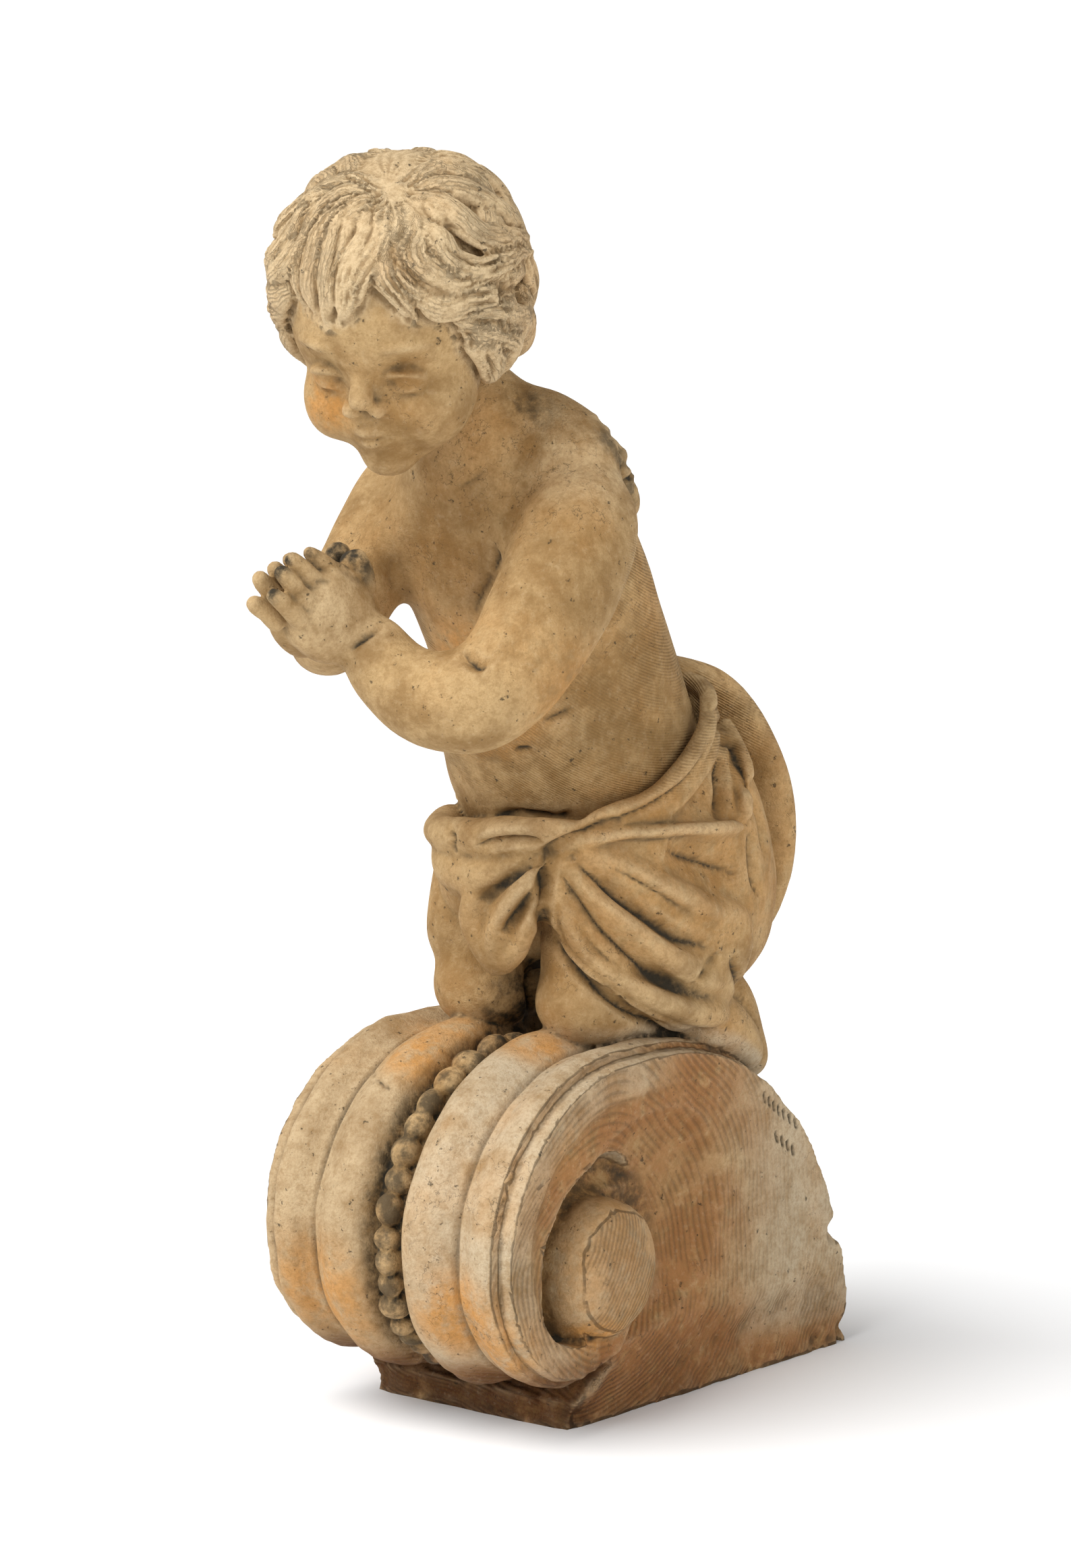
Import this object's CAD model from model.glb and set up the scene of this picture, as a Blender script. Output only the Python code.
"""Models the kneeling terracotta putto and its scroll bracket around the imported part."""

import math

import bmesh
import bpy
import numpy as np
from mathutils import Euler, Matrix, Vector, kdtree
from mathutils.bvhtree import BVHTree


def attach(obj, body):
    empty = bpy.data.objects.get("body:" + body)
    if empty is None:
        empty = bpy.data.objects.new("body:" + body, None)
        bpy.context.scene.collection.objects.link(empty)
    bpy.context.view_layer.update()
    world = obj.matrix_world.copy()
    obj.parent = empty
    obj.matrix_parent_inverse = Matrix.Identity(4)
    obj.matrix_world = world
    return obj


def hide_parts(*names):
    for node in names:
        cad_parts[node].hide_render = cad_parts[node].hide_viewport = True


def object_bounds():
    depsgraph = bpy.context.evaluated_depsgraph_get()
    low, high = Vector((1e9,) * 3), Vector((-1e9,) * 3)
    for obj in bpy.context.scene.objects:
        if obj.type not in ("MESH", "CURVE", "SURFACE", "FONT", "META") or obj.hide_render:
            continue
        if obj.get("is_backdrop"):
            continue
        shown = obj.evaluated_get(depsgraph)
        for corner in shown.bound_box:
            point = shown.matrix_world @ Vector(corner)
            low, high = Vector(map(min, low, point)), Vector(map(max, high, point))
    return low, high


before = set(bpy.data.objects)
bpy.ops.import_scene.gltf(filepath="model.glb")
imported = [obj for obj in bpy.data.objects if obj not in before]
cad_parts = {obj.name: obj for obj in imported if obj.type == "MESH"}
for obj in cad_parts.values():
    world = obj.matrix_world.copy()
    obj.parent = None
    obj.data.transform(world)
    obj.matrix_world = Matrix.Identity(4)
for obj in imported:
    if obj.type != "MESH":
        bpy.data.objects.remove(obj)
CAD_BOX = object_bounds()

bl_info = {
    "name": "Terracotta Putto",
    "version": (1, 0, 0),
    "blender": (4, 5, 0),
    "location": "View3D > Sidebar > Putto",
    "description": "A kneeling putto on a scroll bracket, modelled in clay and fired in one piece",
    "category": "Add Mesh",
}

# The clay is worked in millimetres and set down in metres.
MM = 0.001
X_AXIS = np.array([1.0, 0.0, 0.0])
Y_AXIS = np.array([0.0, 1.0, 0.0])
Z_AXIS = np.array([0.0, 0.0, 1.0])
CLAY_PARTS = ("bracket_clay", "body_clay", "head_clay", "cloth_clay")
PIECE = "putto_terracotta"
BALLS = {}
# The camera's picture in pixels, and its sensor's longer side in millimetres.
PICTURE = (1588, 2324)
SENSOR = 36.0
# Edge lengths, in millimetres, at which the forms of each part are fused before its finer work.
COARSE = {"body": 2.0, "face": 1.2, "features": 1.0, "cloth": 1.6}


# Settings


class ClaySettings(bpy.types.PropertyGroup):
    """Sizes that a modeller would change."""

    head_yaw: bpy.props.FloatProperty(
        name="Head turn", description="Turn of the head to the figure's left", default=math.radians(15),
        subtype="ANGLE",
    )
    head_pitch: bpy.props.FloatProperty(
        name="Head bow", description="How far the head is bowed", default=math.radians(25), subtype="ANGLE"
    )
    voxel: bpy.props.FloatProperty(
        name="Clay grain", description="Edge length of the fused clay, in millimetres", default=1.0, min=0.5
    )
    triangles: bpy.props.IntProperty(
        name="Triangles", description="Triangles left in the finished piece", default=196000, min=20000
    )
    strand: bpy.props.FloatProperty(
        name="Strand depth", description="Depth of the tooled hair strands, in millimetres", default=0.5
    )


class FinishSettings(bpy.types.PropertyGroup):
    """Colours of the fired clay."""

    buff: bpy.props.FloatVectorProperty(
        name="Buff", description="Fired clay of the figure", default=(0.475, 0.315, 0.145), subtype="COLOR"
    )
    umber: bpy.props.FloatVectorProperty(
        name="Umber", description="Handled, darkened clay", default=(0.245, 0.138, 0.047), subtype="COLOR"
    )
    ochre: bpy.props.FloatVectorProperty(
        name="Ochre", description="Warm flush of the firing", default=(0.54, 0.255, 0.066), subtype="COLOR"
    )
    rust: bpy.props.FloatVectorProperty(
        name="Rust", description="Iron-red clay of the bracket's sides", default=(0.32, 0.135, 0.045),
        subtype="COLOR",
    )
    cream: bpy.props.FloatVectorProperty(
        name="Cream", description="Pale, worn clay", default=(0.70, 0.54, 0.33), subtype="COLOR"
    )
    bloom: bpy.props.FloatVectorProperty(
        name="Bloom", description="Greyish bloom of the bracket's clay", default=(0.50, 0.41, 0.285),
        subtype="COLOR",
    )
    peat: bpy.props.FloatVectorProperty(
        name="Peat", description="Dark clay of the foot", default=(0.100, 0.032, 0.008), subtype="COLOR"
    )
    grime: bpy.props.FloatVectorProperty(
        name="Grime", description="Dirt in the hollows", default=(0.040, 0.032, 0.020), subtype="COLOR"
    )


class StageSettings(bpy.types.PropertyGroup):
    """The viewpoint and the floor."""

    azimuth: bpy.props.FloatProperty(
        name="Azimuth", description="Camera turn from the front to the figure's left",
        default=math.radians(37.5), subtype="ANGLE",
    )
    elevation: bpy.props.FloatProperty(
        name="Elevation", description="Camera height above level",
        default=math.radians(11.2), subtype="ANGLE",
    )
    distance: bpy.props.FloatProperty(
        name="Distance", description="Camera to the aim point", default=3.0, unit="LENGTH"
    )
    aim: bpy.props.FloatVectorProperty(
        name="Aim", description="Point that the camera looks at", default=(0.0245, -0.0779, 0.280),
        subtype="XYZ",
    )
    lens: bpy.props.FloatProperty(name="Lens", description="Focal length in millimetres", default=160.3)


# Clay helpers


def smoothstep(value, low, high):
    share = np.clip((np.asarray(value, float) - low) / (high - low), 0.0, 1.0)
    return share * share * (3.0 - 2.0 * share)


def normalised(vectors):
    return vectors / np.maximum(np.linalg.norm(vectors, axis=-1, keepdims=True), 1e-12)


def spline(values, share):
    """A smooth curve through the rows of values, read at shares of its length."""
    values = np.asarray(values, float)
    last = len(values) - 1
    place = np.clip(share, 0.0, 1.0) * last
    start = np.minimum(place.astype(int), last - 1)
    f = (place - start)[:, None]
    padded = np.vstack([2 * values[0] - values[1], values, 2 * values[-1] - values[-2]])
    before, here, after, beyond = (padded[start + i] for i in range(4))
    return 0.5 * (
        2 * here
        + (after - before) * f
        + (2 * before - 5 * here + 4 * after - beyond) * f**2
        + (3 * here - before - 3 * after + beyond) * f**3
    )


def ball(sides, rings):
    """The mesh of a unit ball, kept for the next form of the same fineness, and its vertices' places."""
    if (sides, rings) not in BALLS:
        bm = bmesh.new()
        bmesh.ops.create_uvsphere(bm, u_segments=sides, v_segments=rings, radius=1.0)
        mesh = bpy.data.meshes.new("ball")
        bm.to_mesh(mesh)
        bm.free()
        BALLS[sides, rings] = mesh, places_of(mesh)
    return BALLS[sides, rings]


def add_form(bm, mesh, places):
    """Adds a ball to bm with its vertices moved to places."""
    mesh.vertices.foreach_set("co", places.astype(np.float32).ravel())
    bm.from_mesh(mesh)


def settle(verts, places):
    for vert, place in zip(verts, places):
        vert.co = place


def blob(bm, centre, radii, turn=(0, 0, 0), sides=24, rings=16):
    """An ellipsoid, turned about X, Y and Z in degrees."""
    mesh, unit = ball(sides, rings)
    rotation = np.array(Euler([math.radians(a) for a in turn], "YXZ").to_matrix())
    add_form(bm, mesh, (unit * radii) @ rotation.T + centre)


def limb_surface(unit, stations, across=X_AXIS, bluntness=4.0, away=None):
    """Places of a unit ball's points on a form along (x, y, z, half width[, half depth]) stations."""
    rows = np.array([list(row) + [row[3]] * (5 - len(row)) for row in stations], float)
    share = np.arccos(np.clip(-unit[:, 2], -1, 1)) / math.pi
    ring = np.maximum(np.hypot(unit[:, 0], unit[:, 1]), 1e-9)
    closing = np.sqrt(np.maximum(0.0, 1.0 - np.abs(1 - 2 * share) ** bluntness))
    here = spline(rows, share)
    step = 0.004
    tangent = normalised(spline(rows, share + step)[:, :3] - spline(rows, share - step)[:, :3])
    if away is None:
        across = np.asarray(across, float)
        side = normalised(across - tangent * (tangent @ across)[:, None])
    else:
        side = normalised(np.cross(tangent, here[:, :3] - away))
    front = np.cross(tangent, side)
    sideways = closing * here[:, 3] * unit[:, 0] / ring
    outward = closing * here[:, 4] * unit[:, 1] / ring
    return here[:, :3] + side * sideways[:, None] + front * outward[:, None], sideways


def limb(bm, stations, across=X_AXIS, sides=24, rings=28, bluntness=4.0, away=None):
    """A round-ended form along a path. away is a point that its flat side faces away from."""
    mesh, unit = ball(sides, rings)
    add_form(bm, mesh, limb_surface(unit, stations, across, bluntness, away)[0])


def mirrored(stations, side):
    return [(side * row[0], *row[1:]) for row in stations]


def new_object(name, bm):
    mesh = bpy.data.meshes.new(name)
    bm.to_mesh(mesh)
    bm.free()
    made = bpy.data.objects.new(name, mesh)
    bpy.context.scene.collection.objects.link(made)
    return made


def applied(made):
    """Applies an object's modifiers to its mesh."""
    depsgraph = bpy.context.evaluated_depsgraph_get()
    finished = bpy.data.meshes.new_from_object(made.evaluated_get(depsgraph))
    old = made.data
    made.modifiers.clear()
    made.data = finished
    bpy.data.meshes.remove(old)


def fused(made, voxel):
    """Fuses overlapping forms into one skin."""
    remesh = made.modifiers.new("Fuse", "REMESH")
    remesh.mode = "VOXEL"
    remesh.voxel_size = voxel
    applied(made)


def places_of(mesh):
    flat = np.empty(len(mesh.vertices) * 3, np.float32)
    mesh.vertices.foreach_get("co", flat)
    return flat.reshape(-1, 3).astype(float)


def set_places(mesh, places):
    mesh.vertices.foreach_set("co", places.astype(np.float32).ravel())
    mesh.update()


def normals_of(mesh):
    flat = np.empty(len(mesh.vertices) * 3, np.float32)
    mesh.vertex_normals.foreach_get("vector", flat)
    return flat.reshape(-1, 3).astype(float)


def edges_of(mesh):
    flat = np.empty(len(mesh.edges) * 2, np.int32)
    mesh.edges.foreach_get("vertices", flat)
    return flat.reshape(-1, 2)


def neighbour_mean(values, edges):
    a, b = edges[:, 0], edges[:, 1]
    count = len(values)
    degree = np.maximum(np.bincount(a, minlength=count) + np.bincount(b, minlength=count), 1)
    columns = [
        (np.bincount(a, values[b, k], count) + np.bincount(b, values[a, k], count)) / degree
        for k in range(values.shape[1])
    ]
    return np.stack(columns, 1)


def ripple(places, length, seed):
    """A smooth random unevenness between about -1 and 1, with waves of about the given length."""
    rng = np.random.default_rng(seed)
    total = np.zeros(len(places))
    for _ in range(9):
        wave = normalised(rng.normal(size=3)) * 2 * math.pi / (length * rng.uniform(0.7, 1.5))
        total += np.sin(places @ wave + rng.uniform(0, 2 * math.pi))
    return total / 3.2


def relaxed(places, edges, amount, rounds):
    """Softens the clay. amount is from 0, untouched, to 1, and may differ from place to place."""
    amount = np.broadcast_to(amount, len(places))[:, None]
    for _ in range(rounds):
        places = places + amount * (neighbour_mean(places, edges) - places)
    return places


def stroke(places, normals, path, width, height, taper=2.6):
    """Raises the clay along a path, or sinks it where height is negative."""
    share = np.linspace(0, 1, 12 * len(path))
    line = spline(np.array(path, float), share)
    low, high = line.min(0) - width, line.max(0) + width
    near = np.flatnonzero(np.all((places > low) & (places < high), axis=1))
    if not len(near):
        return
    gaps = np.linalg.norm(places[near, None, :] - line[None], axis=2)
    nearest = gaps.argmin(1)
    gap = gaps[np.arange(len(near)), nearest]
    off = np.minimum(gap / width, 1.0)
    strength = 0.5 + 0.5 * np.cos(math.pi * off) if height > 0 else (1 - off) ** 1.4
    strength *= 1.0 - np.abs(2 * share[nearest] - 1) ** taper
    places[near] += normals[near] * (height * strength)[:, None]


def hollow(places, centre, radius, push, depth):
    """Presses the clay near a point."""
    gap = np.linalg.norm(places - centre, axis=1)
    strength = 0.5 + 0.5 * np.cos(math.pi * np.minimum(gap / radius, 1.0))
    places += normalised(np.array(push, float)) * (depth * strength)[:, None]


def sight_line(stage, right, down):
    """The camera's place in millimetres and the direction in which it sees a point of the picture."""
    sin_a, cos_a = math.sin(stage.azimuth), math.cos(stage.azimuth)
    sin_e, cos_e = math.sin(stage.elevation), math.cos(stage.elevation)
    backward = Vector((sin_a * cos_e, -cos_a * cos_e, sin_e))
    rightward = Vector((cos_a, sin_a, 0))
    focus = stage.lens / SENSOR * PICTURE[1]
    ahead = rightward * (right - PICTURE[0] / 2) - backward * focus
    ahead -= backward.cross(rightward) * (down - PICTURE[1] / 2)
    return (Vector(stage.aim) + backward * stage.distance) / MM, ahead.normalized()


# The scroll bracket


# The foot, the centres of the spiral and of its eye boss as (y, z), and the bracket's half widths.
FOOT = {"width": 108, "depth": 186, "height": 40, "lip": 12, "slope": (20, 16), "back": 97}
EYE = (-89, 71)
BOSS = (-82, 72)
SIDE = 67
HALF_WIDTH = 68
# The spiral's least radius, its growth and the turns, in radians, where its parts begin and end.
SPIRAL = {"radius": 44, "growth": 0.225}
SWEEP = {"first": -1.1, "core": 0.1, "last": 5.07, "flare_from": 3.45, "flare": 52}
BAND_THICKNESS = 17.0
CORE_INSET = 8.0
# Half width and height above the scroll's edge: bead channel, torus, worn cove and listel.
MOULDING = (
    (0, -6), (8.5, -6), (9.5, -3), (11, 1.5), (14, 4.6), (19, 6.6), (24, 7), (28, 6), (32, 3.6), (35, 1.4),
    (37.5, 0.4), (38.4, -2.4), (40, -2.4), (41, -0.4), (43, -0.4), (46, 0.8), (49, 2.8), (53, 3.8), (57, 3.6),
    (60, 2.2), (61, -1.6), (63, -1.8), (64, -0.8), (68, -2.4),
)
BEADS = {"count": 19, "first": 0.3, "last": 3.45, "sink": 3.4, "size": (7.2, 0.56, 6.6)}
# The eye boss as distance from the middle and radius. The channel round it as turn, reach, distance from the
# middle and width.
KNOB = ((24, 31), (50, 31), (64, 30.5), (79, 26))
CHANNEL = (
    (258, 36, 76, 4), (235, 36, 68, 6), (205, 38, 62, 8), (175, 39, 60, 9), (140, 40, 60, 10),
    (105, 40, 62, 10), (72, 41, 65, 10), (45, 42, 70, 9), (20, 43, 76, 6),
)


def scroll_radius(angle):
    flared = np.maximum(0, angle - SWEEP["flare_from"])
    return SPIRAL["radius"] * np.exp(SPIRAL["growth"] * angle) + SWEEP["flare"] * flared**2 / (flared + 0.5)


def scroll_point(angle, raised=0.0):
    radius = scroll_radius(angle) + raised
    return EYE[0] - radius * np.sin(angle), EYE[1] - radius * np.cos(angle)


def rolled_band(bm):
    """The rolled strip that carries the moulding, from behind the eye over the top to the back."""
    bmesh.ops.create_grid(bm, x_segments=96, y_segments=120, size=0.5)
    outer = list(bm.verts)
    copied = bmesh.ops.extrude_face_region(bm, geom=list(bm.faces), use_keep_orig=True)["geom"]
    inner = [item for item in copied if isinstance(item, bmesh.types.BMVert)]
    heights, levels = zip(*MOULDING)
    for verts, is_outer in ((outer, True), (inner, False)):
        grid = np.array([vert.co for vert in verts])
        x = grid[:, 0] * 2 * HALF_WIDTH
        angle = SWEEP["first"] + (grid[:, 1] + 0.5) * (SWEEP["last"] - SWEEP["first"])
        fade = smoothstep(SWEEP["last"] - angle, 0.0, 1.6)
        raised = np.full(len(x), -BAND_THICKNESS)
        if is_outer:
            raised = np.interp(np.abs(x), heights, levels) * fade
        narrow = 1 - (1 - SIDE / HALF_WIDTH) * smoothstep(angle, 3.3, 4.1)
        y, z = scroll_point(angle, raised)
        settle(verts, np.stack([x * narrow, y, z], 1))


def bracket_core(bm):
    """The block inside the band and the foot below it."""
    front = -FOOT["depth"] / 2
    outline = [(front, 0), (front, FOOT["lip"]), (front + FOOT["slope"][0], FOOT["lip"] + FOOT["slope"][1])]
    angles = np.linspace(SWEEP["core"], SWEEP["last"], 60)
    outline += list(zip(*scroll_point(angles, -CORE_INSET)))
    outline.append((scroll_point(SWEEP["last"], -CORE_INSET)[0], 0))
    verts = [bm.verts.new((-1, y, z)) for y, z in outline]
    flat = bm.faces.new(verts)
    grown = bmesh.ops.extrude_face_region(bm, geom=[flat], use_keep_orig=True)["geom"]
    for vert in grown:
        if isinstance(vert, bmesh.types.BMVert):
            vert.co.x = 1
    level = (0, 0, FOOT["height"])
    bmesh.ops.bisect_plane(bm, geom=[*bm.verts, *bm.edges, *bm.faces], plane_co=level, plane_no=(0, 0, 1))
    for vert in bm.verts:
        below = max(0.0, 1 - vert.co.z / FOOT["height"])
        drawn_in = below * min(1.0, (FOOT["back"] - vert.co.y) / FOOT["depth"])
        vert.co.x *= SIDE - (SIDE - FOOT["width"] / 2) * drawn_in


def carved(core, bm):
    """Cuts the forms in bm out of the core."""
    cutter = new_object("cutter", bm)
    cut = core.modifiers.new("Cut", "BOOLEAN")
    cut.operation = "DIFFERENCE"
    cut.solver = "EXACT"
    cut.object = cutter
    applied(core)
    bpy.data.meshes.remove(cutter.data)


def dish(side):
    """The shallow hollow of one side, deepest round the eye and open to the back."""
    bm = bmesh.new()
    blob(bm, (side * 74, BOSS[0] + 26, BOSS[1] + 14), (20, 66, 52), (20, 0, 0), sides=56, rings=36)
    return bm


def channel(side):
    """The deep spiral channel that runs under, before and over one eye and dies away behind it."""
    bm = bmesh.new()
    run = []
    for turn, reach, x, width in CHANNEL:
        a = math.radians(turn)
        run.append((side * x, BOSS[0] + reach * math.cos(a), BOSS[1] + reach * math.sin(a), 16, width))
    limb(bm, run, sides=32, rings=72, bluntness=5, away=np.array([side * 60.0, *BOSS]))
    return bm


def bead_string(bm):
    """A string of worn, unequal beads that overlap like husks."""
    rng = np.random.default_rng(7)
    count, first, last = BEADS["count"], BEADS["first"], BEADS["last"]
    wide, long, high = BEADS["size"]
    for i in range(count):
        angle = first + (i + rng.uniform(-0.12, 0.12)) / (count - 1) * (last - first)
        y, z = scroll_point(angle, -BEADS["sink"])
        length = scroll_radius(angle) * (last - first) / (count - 1) * long
        size = (wide * rng.uniform(0.75, 1.12), length * rng.uniform(0.85, 1.1), high * rng.uniform(0.7, 1.1))
        centre = (rng.uniform(-0.8, 0.8), y, z)
        blob(bm, centre, size, (-math.degrees(angle) + rng.uniform(4, 16), 0, rng.uniform(-12, 12)))


class PUTTO_OT_bracket(bpy.types.Operator):
    """Models the scroll bracket with its moulding, beads and eyes"""

    bl_idname = "putto.bracket"
    bl_label = "Model the bracket"

    def execute(self, context):
        bm = bmesh.new()
        bracket_core(bm)
        bmesh.ops.recalc_face_normals(bm, faces=bm.faces)
        core = new_object("bracket_clay", bm)
        for side in (-1, 1):
            carved(core, dish(side))
            carved(core, channel(side))
        bm = bmesh.new()
        rolled_band(bm)
        bead_string(bm)
        for side in (-1, 1):
            knob = [(side * x, *BOSS, radius) for x, radius in KNOB]
            limb(bm, knob, across=Y_AXIS, sides=48, rings=36, bluntness=7)
        bmesh.ops.recalc_face_normals(bm, faces=bm.faces)
        bm.from_mesh(core.data)
        bm.to_mesh(core.data)
        bm.free()
        return {"FINISHED"}


# The figure


# Stations of every form of the body as (x, y, z, half width[, half depth]).
TRUNK = (
    (0, 22, 190, 46, 44), (0, 12, 235, 57, 50), (-2, -17, 285, 57, 55), (-1, -36, 335, 54, 50),
    (-1, -58, 378, 57, 46), (-1, -74, 410, 50, 38), (-1, -88, 436, 33, 31), (-2, -104, 462, 29, 29),
)
TRUNK_TURN = math.radians(6)
BELLY = (-2, -62, 302)
KNEES = ((31, -47, 180), (-25, -47, 180))
ARMS = (
    (
        (42, -66, 412, 24), (54, -84, 399, 29), (59, -112, 367, 26), (57, -146, 335.5, 23),
        (40, -158, 329, 22), (18, -161, 334.5, 19), (0, -161, 351, 16.5), (-6, -165, 360, 15),
    ),
    (
        (-40, -46, 414, 24), (-52, -60, 402, 26), (-56, -88, 374, 22), (-54, -113, 352, 20),
        (-47, -131, 346, 18), (-34, -146, 347, 17), (-26, -157, 354, 15), (-23, -162, 359, 13),
    ),
)
PALMS = (
    (
        (-4, -158, 352, 13, 16), (-8.5, -169, 360, 12.6, 21), (-10.5, -181, 368, 10.8, 21.5),
        (-11.5, -191, 375, 8.6, 19.5),
    ),
    (
        (-24, -156, 353, 12.5, 16), (-24, -169, 361, 11.2, 20), (-23.5, -181, 369, 9.8, 20.5),
        (-23, -190, 375, 8, 18.5),
    ),
)
# Root and broken tip of each near finger from the little one to the index. The far hand's lie beside them and
# have lost more of their tips.
FINGERS = (
    ((-10, -201, 369), (-14, -211, 378)),
    ((-10, -196, 376), (-14, -205, 387)),
    ((-10, -187, 381), (-14, -198, 391.5)),
    ((-10, -175, 383), (-14, -187, 392.5)),
)
HANDS = {1: ((0, 0, 0), (0, 0, 0, 0)), -1: ((-10.5, -1.5, -2.5), (3, 1, 4, 2))}
THUMBS = (
    ((-7, -158, 369, 7.6), (-8, -159, 380, 7), (-9, -162, 389, 5.2)),
    ((-25, -155, 368, 7), (-23, -154, 380, 6.4), (-20, -156, 390, 4.8)),
)
# The left wing's stump, and how much further back each side's stands.
WING_STUMP = (
    (44, -62, 434, 5), (47.5, -58, 425, 6), (48, -51, 414, 6.5), (45.5, -42, 402, 6), (42, -33, 393, 5),
)
WING_SETBACK = {1: 0, -1: 14}
# The middle of the joined hands, the way they point and the way across their palms.
CLASPED = (-14, -172, 364)
HAND_AXIS = normalised(np.array([-0.1, -0.7, 0.7]))
PALM_ACROSS = normalised(np.array([1.0, -0.12, 0.0]))
THIGH = ((30, -4, 252, 37), (32, -24, 224, 32, 37), (31, -42, 196, 27, 30), (31, -48, 184, 25))
SHIN = ((31, -52, 184, 26, 23), (32, -20, 180, 27, 23), (33, 20, 170, 24, 21), (34, 42, 160, 17))
SOLE = ((36, 26, 188, 19, 13), (38, 37, 166, 20, 13), (38, 48, 144, 20, 12), (38, 57, 126, 19, 11))


def fingers(bm):
    """Two hands of closed fingers with broken tips, and the stubs of the thumbs."""
    for side, (aside, losses) in HANDS.items():
        for (root, tip), loss in zip(FINGERS, losses):
            root, tip = np.array(root) + aside, np.array(tip) + aside
            tip = tip - normalised(tip - root) * loss
            heel = root - HAND_AXIS * 10
            bend = (root + tip) / 2 + X_AXIS * side * 0.8
            bones = [(*heel, 4.8), (*root, 4.3), (*bend, 4.0), (*tip, 3.2)]
            limb(bm, bones, PALM_ACROSS, sides=18, rings=24, bluntness=8)
    for stub in THUMBS:
        limb(bm, stub, PALM_ACROSS, sides=18, rings=16, bluntness=8)


class PUTTO_OT_body(bpy.types.Operator):
    """Models the trunk, arms, hands and folded legs"""

    bl_idname = "putto.body"
    bl_label = "Model the body"

    def execute(self, context):
        bm = bmesh.new()
        turned = np.array([math.cos(TRUNK_TURN), -math.sin(TRUNK_TURN), 0])
        limb(bm, TRUNK, turned, sides=48, rings=48, bluntness=6)
        blob(bm, BELLY, (44, 22, 34), (30, 0, 0))
        for side in (-1, 1):
            neck, collar = (side * 6, -84, 444, 19), (side * 30, -66 - 6 * side, 424, 24)
            limb(bm, [neck, collar, (side * 52, -68 - 10 * side, 406, 25)], Y_AXIS)
            blob(bm, (side * 26, -90 - 2 * side, 386), (24, 16, 20), (30, 0, 0))
            for stations in (THIGH, SHIN, SOLE):
                limb(bm, mirrored(stations, side), sides=28)
        for knee in KNEES:
            blob(bm, knee, (25, 27, 21), sides=28, rings=20)
        for arm in ARMS:
            limb(bm, arm, (0.6, -0.2, 0.75), sides=28, rings=40)
        for palm in PALMS:
            limb(bm, palm, PALM_ACROSS)
        made = new_object("body_clay", bm)
        fused(made, COARSE["body"])
        places, edges = places_of(made.data), edges_of(made.data)
        to_hand = np.linalg.norm(places - CLASPED, axis=1)
        soft = 0.08 + 0.42 * smoothstep(to_hand, 20, 48)
        set_places(made.data, relaxed(places, edges, soft, 36))
        bm = bmesh.new()
        bm.from_mesh(made.data)
        fingers(bm)
        for side in (-1, 1):
            run = [(x, y + WING_SETBACK[side], z, radius) for x, y, z, radius in WING_STUMP]
            limb(bm, mirrored(run, side))
        bm.to_mesh(made.data)
        bm.free()
        return {"FINISHED"}


# The head


# Centre and half sizes of the head and of its hair, the ways to crown and brow, and the place of the whorl.
HEAD_CENTRE = np.array([-3.0, -135.0, 487.0])
HEAD = (45.0, 53.0, 58.0)
CROWN_TILT = math.radians(22)
HAIR_CENTRE = np.array([0.0, 6.0, 10.0])
SKULL = np.array([46.5, 54.5, 50.2])
CROWN = np.array([0, math.sin(CROWN_TILT), math.cos(CROWN_TILT)])
BROW = np.array([0, -math.cos(CROWN_TILT), math.sin(CROWN_TILT)])
WHORL = (15, 34)
# Locks over the brow, and locks swept to the left side and behind the ear. Each has pixels drawn in the
# picture from the whorl outwards, then further points as (around, down) in degrees from brow and crown.
BROW_LOCKS = (
    (((568, 285), (532, 296), (505, 320), (490, 356), (481, 398), (475, 440), (469, 479)), ()),
    (((571, 290), (550, 314), (553, 344), (529, 374), (517, 410), (505, 452), (493, 472)), ()),
    (((577, 296), (577, 333), (565, 368), (544, 393), (529, 428), (520, 460)), ()),
    (((586, 296), (595, 332), (577, 374), (580, 404), (607, 440), (628, 470)), ()),
    (((592, 296), (610, 332), (595, 374), (604, 404), (634, 428), (658, 443)), ()),
    (((562, 284), (514, 278), (478, 302), (454, 332), (439, 368), (430, 410), (436, 449)), ()),
    ((), ((-2, 36), (-16, 44), (-22, 56), (-21, 68), (-23, 80), (-20, 92))),
    ((), ((8, 34), (-30, 28), (-52, 40), (-50, 54), (-46, 66), (-42, 78), (-38, 88))),
)
SIDE_LOCKS = (
    (((598, 293), (628, 333), (622, 368), (640, 398), (682, 416), (718, 410)), ((80, 80),)),
    (((604, 290), (646, 314), (652, 350), (676, 386), (718, 398)), ((88, 74), (112, 78))),
    (((610, 287), (658, 302), (688, 329), (718, 356)), ((89, 67), (112, 72))),
    (((622, 278), (670, 278), (712, 296), (748, 326)), ((113, 68),)),
    (((634, 437), (670, 449), (706, 440), (742, 434)), ((102, 92),)),
    (((682, 464), (724, 464)), ((86, 100), (106, 107), (108, 120))),
    (((694, 482), (730, 488)), ((93, 113), (104, 124), (99, 133))),
    (((706, 500), (730, 518)), ((88, 126), (95, 135))),
    ((), ((30, 30), (80, 24), (115, 36), (126, 52), (132, 66))),
)
# How far above the skull the drawn locks lie.
DRAWN_LIFT = 6.0
# Rows of locks down the back: count, upper and lower end, spread and first, in degrees.
BACK_ROWS = ((7, 12, 58, 44, -132), (9, 40, 88, 33, -132), (9, 66, 112, 33, -130), (8, 90, 128, 32, -112))
# Half width, half thickness and lift of the locks, and how far each side lock's end stands off.
BROW_LOCK = (7.0, 4.0, 2.6)
SIDE_LOCK = (7.4, 4.4, 3.5)
BACK_LOCK = (8.6, 4.4, 3.0)
SIDE_FLICKS = (3.0, 6.0, 6.0, 4.0, 0.0, 3.0, 2.0, 1.0, 3.0)
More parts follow.
